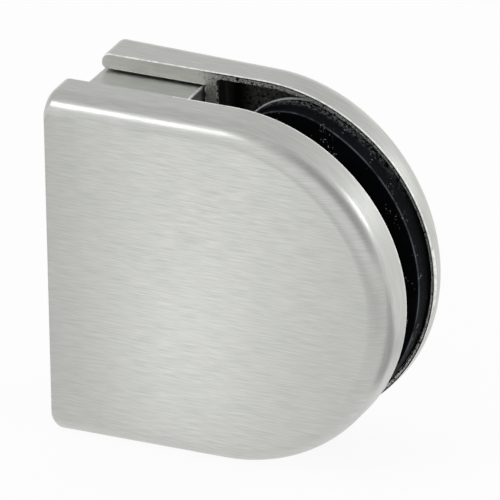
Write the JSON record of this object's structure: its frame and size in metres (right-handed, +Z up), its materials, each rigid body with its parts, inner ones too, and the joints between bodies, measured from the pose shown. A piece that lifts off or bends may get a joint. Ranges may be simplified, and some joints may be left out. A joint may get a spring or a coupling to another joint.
{
  "type": "glass panel clamp",
  "caption": "Half-round die-cast glass panel clamp with a sliding cover, rubber pads and countersunk clamp screws, for a flat post.",
  "frame": {"origin": "centre of the fixing hole's mouth, in the web's end face that bears on the post", "axes": "+X from the post along the fixing hole towards the nose, +Y from the front half towards the cover, +Z up"},
  "size_m": [0.045, 0.02, 0.045],
  "materials": {
    "nickel": "satin nickel plate on a zinc casting, brushed along the front plate",
    "pad_rubber": "matte",
    "screw_steel": "satin stainless"
  },
  "bodies": {
    "base": {"front_half": "nickel", "front_pad": "pad_rubber"},
    "cover": {"rear_half": "nickel", "rear_pad": "pad_rubber"},
    "upper_screw": {"upper_clamp_screw": "screw_steel"},
    "lower_screw": {"lower_clamp_screw": "screw_steel"}
  },
  "joints": [
    {"name": "cover_slide", "type": "slide", "parent": "base", "child": "cover", "axis": [0, 1, 0], "range_m": [0, 0.004]},
    {"name": "upper_screw_turn", "type": "hinge", "parent": "cover", "child": "upper_screw", "pos_m": [0.00665, 0.0098, 0.0125], "axis": [0, 1, 0], "range_deg": [0, 1800]},
    {"name": "lower_screw_turn", "type": "hinge", "parent": "cover", "child": "lower_screw", "pos_m": [0.00665, 0.0098, -0.0125], "axis": [0, 1, 0], "range_deg": [0, 1800]}
  ],
  "couplings": [
    {"joint": "upper_screw_turn", "follows": "cover_slide", "rad_per_m": 7854},
    {"joint": "lower_screw_turn", "follows": "cover_slide", "rad_per_m": 7854}
  ]
}
